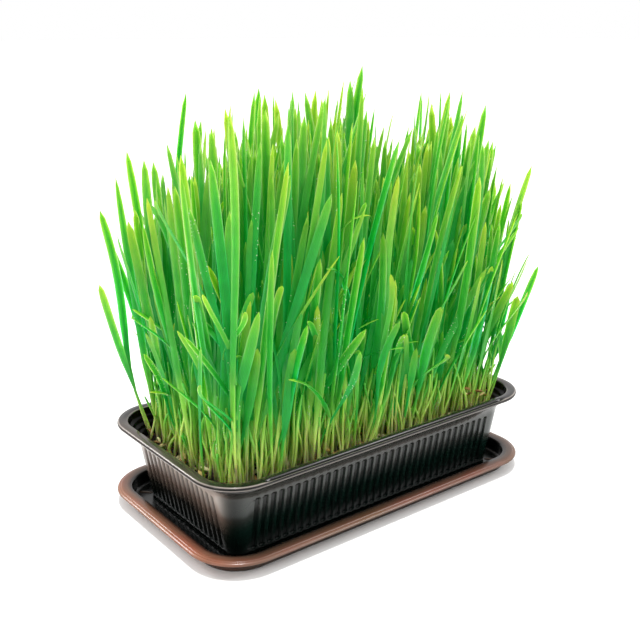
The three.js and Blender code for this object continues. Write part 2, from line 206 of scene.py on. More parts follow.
def addBump(tree, height, strength, distance):
    inputs = {"Height": height, "Strength": strength, "Distance": distance}
    return addNode(tree, "ShaderNodeBump", inputs=inputs).outputs["Normal"]


# Camera: its place, turn and lens come from a fit to the outlines of the two rims in the 640 by 640 photo

cameraView = {
    "position": (-0.34926, -0.44479, 0.28967),
    # its right, its up and its back
    "turn": ((0.78991, -0.61322, 0.0), (0.18448, 0.23764, 0.95367), (-0.58481, -0.75332, 0.30084)),
    "lens": 52.15, "sensor": 36.0,
}


def turnAndMove(item, turn, place):
    item.matrix_world = Matrix.Translation(place) @ Matrix(turn).transposed().to_4x4()


cameraData = bpy.data.cameras.new("camera")
cameraData.lens = cameraView["lens"]
cameraData.sensor_width = cameraView["sensor"]
camera = addObject("camera", cameraData)
turnAndMove(camera, cameraView["turn"], cameraView["position"])
bpy.context.scene.camera = camera
bpy.context.scene.view_settings.view_transform = "Standard"
print("camera set")


# Rounded rectangular shells, for the saucer, the planter and the soil

sideNormals = np.array([[0, 1], [-1, 0], [0, -1], [1, 0]], float)


def straightReach(shape):  # half the straight part of the long and of the short sides
    return np.array([shape["length"], shape["width"]]) / 2 - shape["radius"]


def evenColumns(reach, steps):  # columns spread evenly over a straight side, without its ends
    return np.linspace(-1, 1, steps + 2)[1:-1] * reach


def roundedOutline(shape, alongs, cornerSteps):
    # Columns round a rounded rectangle, anticlockwise. A point is base + normal * (radius - inset), where base is
    # the corner's centre on an arc, and on a side the point beside it on the line between two such centres. Each
    # column also has the number of its side, or -1 on an arc, and its place along that side.
    bases, normals, sides, places = [], [], [], []
    reach = straightReach(shape)
    for side in range(4):
        normal, last = sideNormals[side], sideNormals[side - 1]
        tangent = np.array([-normal[1], normal[0]])
        along = alongs[side % 2]
        arc = unitVectors((side + np.linspace(0, 1, cornerSteps + 1)) * np.pi / 2)
        corner = (normal + last) * reach
        bases += [np.repeat(corner[None], len(arc), axis=0), normal * reach + along[:, None] * tangent]
        normals += [arc, np.repeat(normal[None], len(along), axis=0)]
        sides += [np.full(len(arc), -1), np.full(len(along), side)]
        places += [np.zeros(len(arc)), along]
    return [np.concatenate(part) for part in (bases, normals, sides, places)]


def filletedProfile(corners, steps):
    # Rows of (inset, height) through corners of (inset, height, rounding). A corner p with a rounding becomes the
    # curve (1-t)^2 a + 2 t (1-t) p + t^2 b, where a and b lie on its two edges, that far from it, but less than
    # half an edge.
    corners = np.array(corners, float)
    points, rounding = corners[:, :2], corners[:, 2]
    t = np.linspace(0, 1, steps + 1)[:, None]
    rows = [points[:1]]
    for i in range(1, len(points) - 1):
        if rounding[i] == 0:
            rows.append(points[i:i + 1])
            continue
        edges = points[[i - 1, i + 1]] - points[i]
        cuts = np.minimum(rounding[i], np.linalg.norm(edges, axis=1) * 0.48)
        start, end = points[i] + unitLength(edges) * cuts[:, None]
        rows.append((1 - t) ** 2 * start + 2 * t * (1 - t) * points[i] + t ** 2 * end)
    rows.append(points[-1:])
    return np.concatenate(rows)


def shellPoints(outline, insets, heights, radius):  # insets: rows by columns; heights: those, or one for a row
    bases, normals = outline[:2]
    flat = bases[None] + normals[None] * (radius - insets)[..., None]
    level = np.broadcast_to(heights, insets.shape)[..., None]
    return np.concatenate([flat, level], axis=-1)


# Saucer

saucer = {
    "length": 256, "width": 147, "radius": 32,
    "roundSteps": 4, "cornerSteps": 24, "sideSteps": 24,
    # inset from the outer edge, height, and rounding, from the middle of the floor over the rim to the underside
    "profile": [
        (16, 1.4, 0), (12, 1.4, 2), (10.2, 2.4, 1.2), (9.5, 9.6, 0.5), (8.9, 10.4, 0.5), (5.2, 10.9, 3),
        (2.5, 10.6, 0.6), (2.1, 10.1, 0.3), (1.4, 10.2, 0.5), (0.2, 9.4, 0.8), (0, 8.6, 0.3), (1.1, 8.6, 0.3),
        (1.6, 9.1, 0.5), (7.2, 9.2, 0.6), (7.6, 8.6, 0.6), (8.2, 1.2, 0.8), (9.2, 0, 0.6), (14, 0, 0),
    ],
    "ribFrom": 10.4, "ribSize": (9.2, 1.8, 1.0), "ribSunk": 0.3, "ribUnder": 0.7, "ribSteps": (17, 9),
    # for the material: the inset with the ribs' colour, where the painted shade on the underside starts, and the
    # widest one
    "ribInset": 7.5, "shadeFrom": 5, "insetSpan": 16,
}


def makeSaucer():
    reach = straightReach(saucer)
    sides = [evenColumns(part, saucer["sideSteps"]) for part in reach]
    outline = roundedOutline(saucer, sides, saucer["cornerSteps"])
    rows = filletedProfile(saucer["profile"], saucer["roundSteps"])
    columns = len(outline[0])
    insets = np.repeat(rows[:, :1], columns, axis=1)
    points = shellPoints(outline, insets, rows[:, 1:], saucer["radius"]).reshape(-1, 3)
    # Painted shade: the well, and the underside farther in than a set inset, keep their inset, which the material
    # turns almost black; the rest of the underside gets the edge's colour
    isUpper = np.arange(len(rows)) <= rows[:, 0].argmin()
    depth = np.repeat(np.where(isUpper | (rows[:, 0] > saucer["shadeFrom"]), rows[:, 0], 0), columns)
    groups = tubeFaces(len(rows), columns)
    # Ribs across the floor's corners: z = height * (1 - across^2) * (1 - along^6), sunk a little into the floor
    along, across = np.meshgrid(*(np.linspace(-1, 1, steps) for steps in saucer["ribSteps"]), indexing="ij")
    lift = (1 - across ** 2) * (1 - along ** 6)
    faces = gridFaces(*along.shape, False)
    index = np.arange(along.size).reshape(along.shape)
    edge = np.concatenate([index[0], index[1:, -1], index[-1, -2::-1], index[-2:0:-1, 0]])
    following = np.roll(edge, -1)
    wall = np.stack([edge, following, following + along.size, edge + along.size], axis=1)
    ribFaces = np.concatenate([faces[:, ::-1], faces + along.size, wall[:, ::-1]])
    length, width, height = saucer["ribSize"]
    base, sunk = saucer["profile"][0][1], saucer["ribSunk"]
    for signs in np.array([(-1, -1), (-1, 1), (1, -1), (1, 1)]):
        outward = signs / math.sqrt(2)
        beside = np.array([-outward[1], outward[0]])
        centre = signs * reach + outward * (saucer["ribFrom"] + length / 2)
        flat = centre + along[..., None] * outward * length / 2 + across[..., None] * beside * width / 2
        upper = np.dstack([flat, base - sunk + (height + sunk) * lift])
        lower = np.dstack([flat, base - saucer["ribUnder"] - 0.1 * lift])
        groups.append(ribFaces + len(points))
        points = np.concatenate([points, upper.reshape(-1, 3), lower.reshape(-1, 3)])
    mesh = makeMesh("saucerDish", points, groups, 40)
    ribPoints = np.ones(len(points) - len(depth))
    setAttribute(mesh, "inset", np.append(depth, ribPoints * saucer["ribInset"]) / saucer["insetSpan"])
    # Painted light: the left end, which faces the lamp on that side, is painted paler and redder
    ends = np.tile(np.clip(-outline[1][:, 0], 0, 1) ** 2, len(rows))
    setAttribute(mesh, "end", np.append(ends, ribPoints * 0))
    return mesh


# Moulded polypropylene: copper-brown and glossy over the rim, with a dull pink and olive bloom here and there. It
# holds
# painted light: a painted highlight in a paler band near the outer edge, painted light that makes the left end
# paler and redder, and painted shade that makes the well and the underside almost black
def saucerPlastic():
    material = newMaterial("moulded polypropylene")
    tree, place = openMaterial(material)
    inset = readAttribute(tree, "inset")
    # a painted highlight in the paler band near the outer edge, and painted shade from about half the span inwards,
    # over the well and the underside
    rim = addRamp(tree, inset, [
        (0, "#6c5446"), (0.07, "#8a6c5e"), (0.2, "#745648"), (0.38, "#665244"), (0.5, "#3c2e24"), (0.6, "#050d0b"),
    ])
    litEndRim = addRamp(tree, inset, [
        (0, "#8a6048"), (0.07, "#aa7c62"), (0.2, "#a67258"), (0.38, "#9c7862"), (0.5, "#4c3428"), (0.6, "#050d0b"),
    ])
    copper = blendColours(tree, readAttribute(tree, "end"), rim, litEndRim)
    cloud = addNoise(tree, place, 0.030, 3)
    bloom = addRamp(tree, cloud, [(0.36, "#bcac84"), (0.5, "#ccb8ac"), (0.64, "#d6a294")])
    grain = addNoise(tree, place, 0.004, 3)
    return closeMaterial(material, {
        "Base Color": blendColours(tree, 0.75, copper, bloom, "MULTIPLY"), "IOR": 1.49,
        "Roughness": mapRange(tree, grain, (0, 1), (0.16, 0.3)), "Normal": addBump(tree, grain, 0.06, 0.0002),
    })


makePiece("saucerDish", makeSaucer(), saucerPlastic(), ["saucer"])
print("saucer made")


# Planter

planter = {
    "length": 250, "width": 141.5, "radius": 28, "roundSteps": 3, "cornerSteps": 14,
    "flutePitch": 5.6, "fluteWidth": 3.9, "fluteDepth": 1.1, "fluteEdge": 0.75,
    "longFlutes": 34, "shortFlutes": 15, "fluteTop": 39.6, "fluteBottom": 4.2,
    "grooveInset": 1.9, "grooveHalf": 0.85, "grooveDepth": 1.8, "grooveEnd": 6, "grooveFloor": 54.6,
    "holeRadius": 2.5, "holeSpacing": (68, 44), "holeSides": 24, "holeReach": (6, -2),
    # lines of painted shade and painted highlight that the material draws along the rim, each by its middle and
    # half its width
    "skirtInset": 1, "skirtBottom": 52, "line": (54.05, 0.45), "bead": (52.95, 0.4), "lip": (0.85, 0.4),
    "edge": (6.4, 0.4),
    # how strongly each mark is painted: the Dark ones as painted shade, the Pale ones as painted highlight;
    # longFade weakens the skirt's shadow and highlight on the long sides
    "lineDark": 0.92, "longFade": 0.5, "lipPale": 0.75, "edgePale": 0.7,
    "fluteDark": 0.55, "cornerDark": 0.55, "insideDark": 0.9,
    # inset, height, and rounding, from the middle of the floor up the inside, over the rim and down the outside
    "inside": [(24, 3, 0), (21.6, 3, 1.6), (14.42, 43.9, 0.6), (12.9, 44.7, 0.5), (12.5, 46.6, 0.5),
               (10.3, 47.5, 0.5), (9.9, 49.9, 0.5), (7.7, 50.8, 0.6), (6.9, 54.5, 0.5)],
    "rim": [(6.2, 55.2, 0.5), (3.6, 55.5, 0.9), (2.7, 55.36, 0), (2.35, 55.31, 0), (2.05, 55.26, 0),
            (1.75, 55.21, 0), (1.45, 55.17, 0), (1.15, 55.12, 0), (0.9, 55.05, 0.2), (0, 54.1, 0.6),
            (0.3, 52.8, 0.3), (1.5, 52.8, 0.3), (2, 54.1, 0.5), (5.9, 53.8, 0.6)],
    "outside": [(6.3, 50.1, 0.6), (8.8, 49.1, 0.5), (9.2, 46.8, 0.5), (11.4, 45.8, 0.4), (11.8, 44.8, 0.3),
                (12.42, 44.2, 0.3)],
    "wall": [(12.42, 44.2), (19.5, 2.6)],
    "foot": [(19.5, 2.6, 0.5), (20.4, 1.7, 0.5), (24, 1.7, 0)],
}


def fluteColumns(count):  # eight columns for each flute, close together where its edges turn in
    middles = (np.arange(count) - (count - 1) / 2) * planter["flutePitch"]
    half, edge = planter["fluteWidth"] / 2, planter["fluteEdge"]
    right = np.array([half - edge, half - edge * 0.5, half + 0.05])
    offsets = np.concatenate([-right[::-1], [0], right, [planter["flutePitch"] / 2]])
    return (middles[:, None] + offsets).ravel()[:-1]


def fluteRecess(outline, heights):
    # What share of a flute's depth each wall point has: smoothStep((half width - d) / edge), where d is how far it
    # is from the upright line in the middle of the nearest flute.
    side, along = outline[2][None], outline[3][None]
    count = np.where(side % 2 == 0, planter["longFlutes"], planter["shortFlutes"])
    half = planter["fluteWidth"] / 2
    number = np.clip(np.round(along / planter["flutePitch"] + (count - 1) / 2), 0, count - 1)
    sideways = along - (number - (count - 1) / 2) * planter["flutePitch"]
    level = heights[:, None]
    above = np.maximum(level - (planter["fluteTop"] - half), 0)
    below = np.maximum(planter["fluteBottom"] + half - level, 0)
    distance = np.hypot(sideways, above + below)
    return smoothStep((half - distance) / planter["fluteEdge"]) * (side >= 0)


def rimGroove(outline, rows):
    # How much of the groove's depth each point has: a peak across the rim, on the long sides only and fading out
    # towards their ends
    fade = np.clip((straightReach(planter)[0] - np.abs(outline[3])) / planter["grooveEnd"], 0, 1)
    fade = fade * (outline[2] % 2 == 0)
    across = peak(rows[:, 0], planter["grooveInset"], planter["grooveHalf"])
    return (across * (rows[:, 1] > planter["grooveFloor"]))[:, None] * fade


def paintPlanter(mesh, outline, rows, recess, groove):
    # Lines along the rim, each a peak: a painted shadow round its skirt, and painted highlights along the skirt's
    # foot, the outer lip and, on the long sides, the inner edge
    inset, height = rows.T
    facesLong = outline[1][:, 1] ** 2
    isSkirt = (inset < planter["skirtInset"]) & (height > planter["skirtBottom"])
    isTop = height > planter["grooveFloor"]
    line, bead = ((peak(height, *planter[name]) * isSkirt)[:, None] for name in ("line", "bead"))
    lip, edge = ((peak(inset, *planter[name]) * isTop)[:, None] for name in ("lip", "edge"))
    pale = np.maximum(bead * (1 - planter["longFade"] * facesLong), lip * planter["lipPale"])
    setAttribute(mesh, "bead", np.maximum(pale, edge * planter["edgePale"] * facesLong))
    # Painted shade on the rounded corners, darkening both their colour and their reflection: 4 nx^2 ny^2, which is
    # 1 midway round a corner and 0 on the sides
    corner = 4 * outline[1][:, 0] ** 2 * facesLong * (height < planter["outside"][0][1])[:, None]
    # Painted shade in the flutes, in the groove and over the inside
    isInside = (np.arange(len(rows)) < height.argmax()) & (inset > planter["inside"][-1][0])
    shade = np.maximum(recess * planter["fluteDark"], groove)
    for part in (line * (planter["lineDark"] - planter["longFade"] * facesLong ** 4),
                 corner * planter["cornerDark"], isInside[:, None] * planter["insideDark"]):
        shade = np.maximum(shade, part)
    setAttribute(mesh, "shade", shade)
    # Painted light on both short ends: the material paints them paler under the rim, as if lit from the side
    setAttribute(mesh, "end", np.tile(np.abs(outline[1][:, 0]) ** 8, len(rows)))


def makePlanter():
    flutes = [fluteColumns(planter[name]) for name in ("longFlutes", "shortFlutes")]
    outline = roundedOutline(planter, flutes, planter["cornerSteps"])
    above = filletedProfile(planter["inside"] + planter["rim"] + planter["outside"], planter["roundSteps"])
    below = filletedProfile(planter["foot"], planter["roundSteps"])
    (insetTop, heightTop), (insetFoot, heightFoot) = planter["wall"]
    top, bottom, arch = planter["fluteTop"], planter["fluteBottom"], planter["fluteWidth"] / 2
    heights = np.unique(np.concatenate([
        np.linspace(top + 0.2, top - arch, 8), np.linspace(top - arch, bottom + arch, 8),
        np.linspace(bottom + arch, bottom - 0.1, 6),
    ]))[::-1]
    wallInsets = insetTop + (heightTop - heights) / (heightTop - heightFoot) * (insetFoot - insetTop)
    rows = np.concatenate([above, np.stack([wallInsets, heights], axis=1), below])
    columns = len(outline[0])
    recess = np.zeros((len(rows), columns))
    recess[len(above):len(above) + len(heights)] = fluteRecess(outline, heights)
    groove = rimGroove(outline, rows)
    insets = rows[:, :1] + recess * planter["fluteDepth"]
    levels = rows[:, 1:] - groove * planter["grooveDepth"]
    points = shellPoints(outline, insets, levels, planter["radius"])
    mesh = makeMesh("planterPot", points, tubeFaces(len(rows), columns), 40)
    paintPlanter(mesh, outline, rows, recess, groove)
    return mesh


def drillHoles(piece):  # six drain holes through the planter's floor
    sides = planter["holeSides"]
    ring = unitRing(sides) * planter["holeRadius"]
    spots = [np.array(planter["holeSpacing"]) * (column, row) for column in (-1, 0, 1) for row in (-0.5, 0.5)]
    points = [np.column_stack([ring + spot, np.full(sides, height)])
              for spot in spots for height in planter["holeReach"]]
    drill = addObject("drill", makeMesh("drill", points, tubeFaces(2, sides, len(spots)), 30))
    cut = piece.modifiers.new("holes", "BOOLEAN")
    cut.operation, cut.solver, cut.object = "DIFFERENCE", "EXACT", drill
    bpy.context.view_layer.update()
    shape = piece.evaluated_get(bpy.context.evaluated_depsgraph_get())
    piece.data = bpy.data.meshes.new_from_object(shape)
    piece.modifiers.clear()
    bpy.data.objects.remove(drill)


# Thermoformed polystyrene: thin, smoke-brown and glossy. Its colour holds painted light: both short ends are
# painted palest under the rim, as if lit from the side, and thin painted highlights run along the rim. It is
# painted almost black towards its foot, a painted shade and a painted reflection of the dark saucer. Flutes,
# groove, rounded corners and the inside get painted shade, which darkens both their colour and their reflection
def planterPlastic():
    material = newMaterial("thermoformed polystyrene")
    tree, place = openMaterial(material)
    height = addNode(tree, "ShaderNodeSeparateXYZ", inputs={"Vector": place}).outputs["Z"]
    cloud = addNoise(tree, place, 0.025, 3)
    # Painted shade and a painted reflection of the dark saucer: the colour turns almost black towards the foot
    level = mapRange(tree, addMath(tree, "MULTIPLY_ADD", cloud, 0.012, height), (0.006, 0.061), (0, 1))
    colour = addRamp(tree, level, [
        (0.08, "#03100c"), (0.35, "#081813"), (0.55, "#16201d"), (0.7, "#292c29"), (0.8, "#343431"),
        (0.9, "#201e1b"), (1, "#1a1715"),
    ])
    litEndColour = addRamp(tree, level, [
        (0.1, "#040e0a"), (0.3, "#1b1a16"), (0.5, "#5c4e46"), (0.7, "#92867d"), (0.82, "#9c9088"),
        (0.9, "#443932"), (1, "#453b35"),
    ])
    smoke = blendColours(tree, readAttribute(tree, "end"), colour, litEndColour)
    pale = blendColours(tree, readAttribute(tree, "bead"), smoke, "#a89c95")
    light = addMath(tree, "SUBTRACT", 1.0, readAttribute(tree, "shade"))
    return closeMaterial(material, {
        "Base Color": scaleColour(tree, pale, light), "IOR": 1.5,
        "Roughness": mapRange(tree, cloud, (0, 1), (0.12, 0.24)),
        "Specular IOR Level": addMath(tree, "MULTIPLY", light, 0.55),
    })


planterPiece = makePiece("planterPot", makePlanter(), planterPlastic(), ["planter"])
drillHoles(planterPiece)
print("planter made:", len(planterPiece.data.polygons), "faces")


# Soil

soil = {
    "top": 40.1, "bottom": 3.3, "topInset": 15.45, "bottomInset": 21.85, "edgeDrop": 0.6, "edgeDepth": 3.0,
    "rings": 34, "sideSteps": (70, 34), "cornerSteps": 10,
    "waves": 36, "waveLength": (3.2, 19), "waveHeight": 0.2,
}
crumb = {"count": 900, "radius": (0.5, 1.7), "margin": 1, "tilt": 1.2, "stretch": (0.6, 1.15), "dents": 0.16}
soilHalf = np.array([planter["length"], planter["width"]]) / 2 - soil["topInset"]


def soilHeight(x, y):
    # The soil's surface: a sum of waves, height * sin(k . (x, y) + phase), each in its own direction
    random = np.random.default_rng(31)
    lengths = random.uniform(*soil["waveLength"], soil["waves"])
    headings, phases = random.uniform(0, 2 * np.pi, (2, soil["waves"]))
    total = np.zeros(np.shape(x))
    for length, heading, phase in zip(lengths, headings, phases):
        along = np.cos(heading) * x + np.sin(heading) * y
        total += np.sin(2 * np.pi * along / length + phase)
    return soil["top"] + soil["waveHeight"] * total


def makeSoil():
    sides = [evenColumns(reach, steps) for reach, steps in zip(straightReach(planter), soil["sideSteps"])]
    outline = roundedOutline(planter, sides, soil["cornerSteps"])
    columns = len(outline[0])
    edge = soil["top"] - soil["edgeDrop"]
    insets = np.repeat([[soil["topInset"]], [soil["topInset"] + 0.2], [soil["bottomInset"]]], columns, axis=1)
    levels = np.array([[edge], [soil["top"] - soil["edgeDepth"]], [soil["bottom"]]])
    rims = shellPoints(outline, insets, levels, planter["radius"])
    shrink = np.linspace(0.02, 1, soil["rings"])[:, None, None]  # the top is rings that shrink to the middle
    inner = rims[:1, :, :2] * shrink
    height = soilHeight(inner[..., 0], inner[..., 1])
    height[-1] = edge
    points = np.concatenate([np.dstack([inner, height]), rims[1:]])
    return makeMesh("soilBed", points, tubeFaces(soil["rings"] + 2, columns), 60)


def insideSoil(random, count, margin):  # random places on the soil, at least that far inside its edge
    sizes = soilHalf - margin
    radius = max(planter["radius"] - soil["topInset"] - margin, 0)
    spots = random.uniform(-1, 1, (count * 2, 2)) * sizes
    beyond = np.maximum(np.abs(spots) - (sizes - radius), 0)
    return spots[np.hypot(*beyond.T) <= radius + 1e-9][:count]


def roundLump(rows, columns):  # a unit sphere, (cos a sin b, sin a sin b, cos b), with small rings at its poles
    polar = np.linspace(0, np.pi, rows)
    polar[0], polar[-1] = 0.12, np.pi - 0.12
    ring = unitRing(columns)
    return np.concatenate([np.column_stack([ring * np.sin(b), np.full(columns, np.cos(b))]) for b in polar])


def turnedCopies(points, random, count, tilt):  # copies that are tilted by up to tilt and turned at random
    angles = [random.uniform(0, 2 * np.pi, count), random.uniform(-tilt, tilt, count),
              random.uniform(-tilt, tilt, count)]
    (cosH, cosL, cosR), (sinH, sinL, sinR) = np.cos(angles), np.sin(angles)
    zero, one = np.zeros(count), np.ones(count)
    aboutZ = np.array([[cosH, -sinH, zero], [sinH, cosH, zero], [zero, zero, one]])
    aboutY = np.array([[cosL, zero, sinL], [zero, one, zero], [-sinL, zero, cosL]])
    aboutX = np.array([[one, zero, zero], [zero, cosR, -sinR], [zero, sinR, cosR]])
    turned = np.einsum("ijn,jkn,kln->nil", aboutZ, aboutY, aboutX)
    return np.einsum("nil,...l->n...i", turned, points)


def setOnSoil(copies, spots, lift):  # moves each copy to its spot, that far above the soil
    copies[..., :2] += spots[:, None]
    copies[..., 2] += (soilHeight(*spots.T) + lift)[:, None]
    return copies


def makeCrumbs():
    random = np.random.default_rng(57)
    spots = insideSoil(random, crumb["count"], crumb["margin"])
    count = len(spots)
    lump = roundLump(4, 6)
    size = random.uniform(*crumb["radius"], count)
    stretch = random.uniform(*crumb["stretch"], (count, 1, 3))
    dents = 1 + random.uniform(-crumb["dents"], crumb["dents"], (count, len(lump), 1))
    copies = turnedCopies(lump, random, count, crumb["tilt"]) * (stretch * dents) * size[:, None, None]
    return makeMesh("soilCrumbs", setOnSoil(copies, spots, size * 0.25), tubeFaces(4, 6, count), 50)


# Damp potting soil: crumbs of peat a millimetre or two across, dark and dull, with a few paler fibres
def pottingSoil():
    material = newMaterial("damp potting soil")
    tree, place = openMaterial(material)
    lumps = addNode(tree, "ShaderNodeTexVoronoi", inputs={"Vector": place, "Scale": 1 / 0.0022})
    cloud = addNoise(tree, place, 0.0035, 8, 0.7)
    colour = addRamp(tree, cloud, [(0.3, "#0d0906"), (0.52, "#22170f"), (0.66, "#3b2a1a"), (0.8, "#6b5233")])
    bump = addBump(tree, addMath(tree, "SUBTRACT", cloud, lumps.outputs[0]), 0.9, 0.0012)
    return closeMaterial(material, {"Base Color": colour, "Roughness": 0.88, "Normal": bump})


soilMaterial = pottingSoil()
makePiece("soilBed", makeSoil(), soilMaterial, ["soil"])
makePiece("soilCrumbs", makeCrumbs(), soilMaterial)
print("soil made")


# Seed husks and rootlets on the soil. The husks lie thick towards the right

husk = {
    "count": 1900, "margin": 2.5, "size": (6.0, 2.7, 1.9), "scale": (0.75, 1.12), "tilt": 0.7, "lift": 7,
    "share": 0.32, "thickFrom": 92, "thickHeading": (0.79, -0.61), "thickLift": 20,
    "drawnIn": 0.22, "crease": 0.3,
}
rootlet = {
    "count": 300, "margin": 4, "radius": 0.24, "reach": (6, 18), "arch": (0.4, 6), "sway": 0.25, "sunk": 0.4,
    "thinning": 0.4, "steps": 8,
}


def makeHusks():
    # A grain of wheat: a stretched sphere whose ends are drawn in by 1 - drawnIn * x^2, with a crease along one
    # side that is pressed in by crease * exp(-(y / 0.3)^2)
    random = np.random.default_rng(83)
    spots = insideSoil(random, husk["count"], husk["margin"])
    isThick = spots @ husk["thickHeading"] > husk["thickFrom"]
    isKept = isThick | (random.random(len(spots)) < husk["share"])
    spots, isThick = spots[isKept], isThick[isKept]
    count = len(spots)
    thickLift = husk["thickLift"] * random.random(count)
    lift = np.where(isThick, thickLift, husk["lift"] * random.random(count) ** 2)
    grain = roundLump(6, 6)[:, [2, 0, 1]]
    crease = husk["crease"] * peak(grain[:, 1], 0, 0.3) * (grain[:, 2] > 0)
    grain[:, 1:] *= 1 - husk["drawnIn"] * grain[:, :1] ** 2
    grain[:, 2] -= crease
    scale = random.uniform(*husk["scale"], (count, 1, 1))
    copies = turnedCopies(grain * (np.array(husk["size"]) / 2), random, count, husk["tilt"]) * scale
    mesh = makeMesh("seedHusks", setOnSoil(copies, spots, 0.3 + lift), tubeFaces(6, 6, count), 60)
    setAttribute(mesh, "tone", np.repeat(random.random(count), len(grain)))
    return mesh


def sweepTubes(paths, radii, sides):
    # Closed tubes along many paths at once. A ring is path + radius * (cos a * beside + sin a * upward), where
    # beside is level and square to the path. paths: tubes, steps, 3; radii: tubes, steps.
    tangent = unitLength(np.gradient(paths, axis=1))
    beside = unitLength(np.cross(tangent, [0.0, 0.0, 1.0]))
    upward = np.cross(beside, tangent)
    ring = unitRing(sides)
    around = ring[:, :1] * beside[:, :, None] + ring[:, 1:] * upward[:, :, None]
    count, steps = paths.shape[:2]
    return paths[:, :, None] + radii[:, :, None, None] * around, turnedOver(tubeFaces(steps, sides, count))


def makeRootlets():
    # Each rootlet runs level from its place, bending sideways by a sine, and rises by arch * sin(pi t)
    random = np.random.default_rng(29)
    spots = insideSoil(random, rootlet["count"], rootlet["margin"] + rootlet["reach"][1] / 2)
    count = len(spots)
    t = np.linspace(0, 1, rootlet["steps"])
    heading = random.uniform(0, 2 * np.pi, (count, 1))
    reach = random.uniform(*rootlet["reach"], (count, 1))
    sway = random.uniform(-rootlet["sway"], rootlet["sway"], (count, 1)) * reach
    sway = sway * np.sin(np.pi * t * random.uniform(0.8, 1.8, (count, 1)))
    x = spots[:, :1] + np.cos(heading) * reach * (t - 0.5) - np.sin(heading) * sway
    y = spots[:, 1:] + np.sin(heading) * reach * (t - 0.5) + np.cos(heading) * sway
    arch = random.uniform(*rootlet["arch"], (count, 1))
    z = soilHeight(x, y) - rootlet["sunk"] + arch * np.sin(np.pi * t)
    radii = rootlet["radius"] * random.uniform(0.6, 1.3, (count, 1)) * (1 - rootlet["thinning"] * t)
    return makeMesh("rootlets", *sweepTubes(np.dstack([x, y, z]), radii, 4), 100)


# Wheat husk: dry straw skin, dull, from cream to brown, with faint specks
def strawHusk():
    material = newMaterial("wheat husk")
    tree, place = openMaterial(material)
    speck = addNoise(tree, place, 0.0018, 4)
    blend = addMath(tree, "MULTIPLY_ADD", speck, 0.5, readAttribute(tree, "tone"))
    colour = addRamp(tree, blend, [(0.25, "#7a5a2c"), (0.5, "#c79a4c"), (0.85, "#e2c87e"), (1, "#f2e6b4")])
    bump = addBump(tree, speck, 0.4, 0.0004)
    return closeMaterial(material, {"Base Color": colour, "Roughness": 0.6, "Normal": bump})


# Young root: white and slightly waxy, stained by the soil here and there
def rootSkin():
    material = newMaterial("young root")
    tree, place = openMaterial(material)
    stain = addRamp(tree, addNoise(tree, place, 0.006, 5), [(0.4, "#8f7a50"), (0.6, "#e6dfc0")])
    return closeMaterial(material, {"Base Color": stain, "Roughness": 0.45})


makePiece("seedHusks", makeHusks(), strawHusk())
makePiece("rootlets", makeRootlets(), rootSkin())
print("husks and rootlets made")


# Sprouts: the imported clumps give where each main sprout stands, how it leans and how wide it is

clumps = {"columns": 11, "rows": 5, "pitch": 18.9, "span": 208}
blade = {
    "steps": 13, "stemHalf": 0.85, "stemDepth": 0.75, "thickness": 0.32, "channel": 0.45, "tipHalf": 0.12,
    "sheathFrom": (16, 40), "sheathOver": (22, 45), "sunk": 2.5, "sway": 3.5, "veins": 7,
    "bluntTaper": (9, 15), "sharpTaper": (5, 9), "taperFrom": 0.55, "bluntShare": 0.7,
    "youngShare": 0.32, "youngTone": (0.55, 1), "deepTone": (0, 0.45),
}
between = {
    "count": 1080, "height": (0.3, 1.0), "tallHeight": (1.0, 1.1), "tallShare": 0.08, "width": (3.0, 6.0),
    "lean": 31, "farLean": 54, "farShare": 0.4, "fan": 0.02, "tipReach": (127, 71), "curl": (0.65, 1.7),
    "drift": (4, 14), "driftHeading": (0.79, -0.61), "twist": 2.2, "margin": 3.5,
    # how high the tips reach, against how far a tip stands along the drift's heading
    "skylineAlong": (-130, -112, -98, -80, -66, -45, 22, 34, 56, 70, 98, 112, 130),
    "skylineHeight": (138, 162, 168, 186, 182, 197, 201, 180, 178, 196, 192, 166, 140),
}
sideLeaf = {
    "count": 420, "from": (0.16, 0.5), "reach": (8, 40), "rise": (22, 85), "droop": (0, 1.0), "width": (2.6, 5.0),
    "foldedShare": 0.006, "foldedDroop": 3.2, "shares": (0.25, 1),
}
edgeStem = {"count": 760, "band": 17, "height": (22, 62), "lean": 17, "margin": 2.5, "shares": (0.04, 0.25)}
centreShares = np.array([0, 0.4, 0.8, 1])  # where the centres of a sprout lie, from its foot to its tip
# where its sections lie, closer together near the tip, where the blade rounds off: 1 - (1 - t)^1.35
sectionShares = 1 - (1 - np.linspace(0, 1, blade["steps"])) ** 1.35


